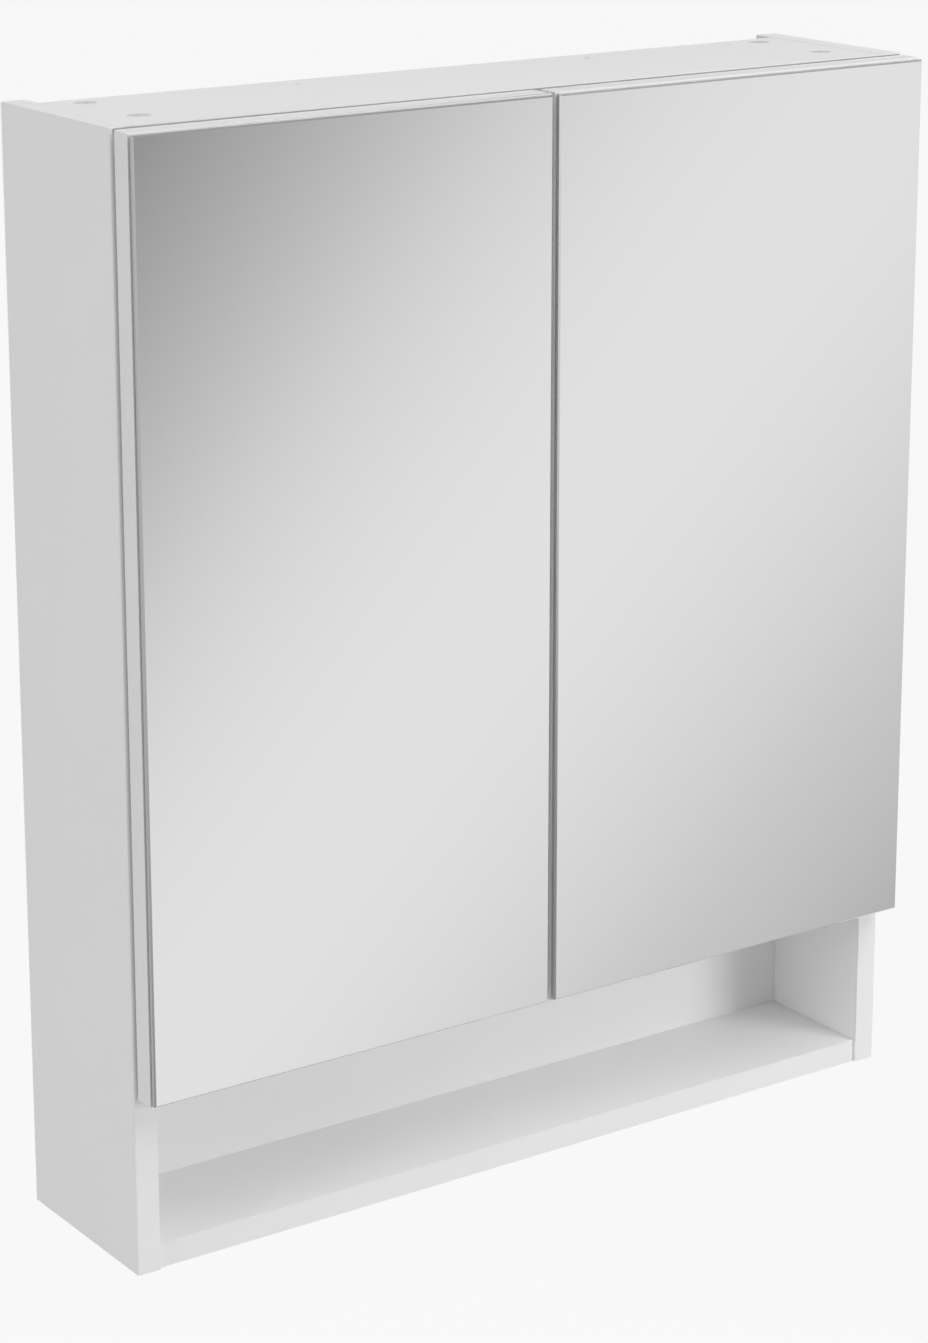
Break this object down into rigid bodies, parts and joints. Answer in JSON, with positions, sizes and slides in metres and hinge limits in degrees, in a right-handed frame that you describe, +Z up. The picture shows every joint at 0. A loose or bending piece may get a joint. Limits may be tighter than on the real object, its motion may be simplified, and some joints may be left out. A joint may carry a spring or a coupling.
{
  "type": "mirror cabinet",
  "caption": "White wall-hung bathroom cabinet with two mirror-faced doors on concealed hinges above an open niche.",
  "frame": {"origin": "on the wall plane, at the middle of the cabinet's width and level with its underside", "axes": "+X to the right seen from the front, +Y into the wall, +Z up"},
  "size_m": [0.6, 0.1555, 0.716],
  "materials": {
    "white_board": "white melamine, fine satin grain",
    "edging": "white edging strip, satin",
    "shelf_glass": "clear float glass, polished edges",
    "mirror_glass": "silvered glass, ground arris",
    "plated_steel": "nickel plated",
    "zinc": "die-cast, grey",
    "beech": "bare wood",
    "white_plastic": "moulded, satin",
    "magnet": "sintered, dull",
    "foam_tape": "closed-cell adhesive foam",
    "clear_rubber": "soft translucent pad"
  },
  "bodies": {
    "carcass": {"left_side_panel": "white_board", "right_side_panel": "white_board", "top_panel": "white_board", "bottom_panel": "white_board", "niche_top_panel": "white_board", "back_panel": "white_board", "front_edge_bands": "edging", "lower_shelf": "shelf_glass", "upper_shelf": "shelf_glass", "shelf_pins": "plated_steel", "cam_locks": "zinc", "cam_bolts": "plated_steel", "dowels": "beech", "back_panel_screws": "plated_steel", "hanger_housings": "white_plastic", "hanger_hooks": "plated_steel", "hanger_adjusters": "plated_steel", "hinge_mounting_plates": "plated_steel", "hinge_plate_screws": "plated_steel", "hinge_arms": "plated_steel", "hinge_arm_screws": "plated_steel", "catch_sleeves": "white_plastic", "catch_magnets": "magnet"},
    "left_door": {"left_door_panel": "white_board", "left_door_edge_bands": "edging", "left_mirror": "mirror_glass", "left_mirror_tapes": "foam_tape", "left_hinge_cups": "plated_steel", "left_hinge_pins": "plated_steel", "left_cup_screws": "plated_steel", "left_strike_plate": "plated_steel", "left_bumpers": "clear_rubber"},
    "right_door": {"right_door_panel": "white_board", "right_door_edge_bands": "edging", "right_mirror": "mirror_glass", "right_mirror_tapes": "foam_tape", "right_hinge_cups": "plated_steel", "right_hinge_pins": "plated_steel", "right_cup_screws": "plated_steel", "right_strike_plate": "plated_steel", "right_bumpers": "clear_rubber"}
  },
  "joints": [
    {"name": "left_door_hinge", "type": "hinge", "parent": "carcass", "child": "left_door", "pos_m": [-0.2918, -0.1435, 0.417], "axis": [0, 0, -1], "range_deg": [0, 105]},
    {"name": "right_door_hinge", "type": "hinge", "parent": "carcass", "child": "right_door", "pos_m": [0.2918, -0.1435, 0.417], "axis": [0, 0, 1], "range_deg": [0, 105]}
  ]
}
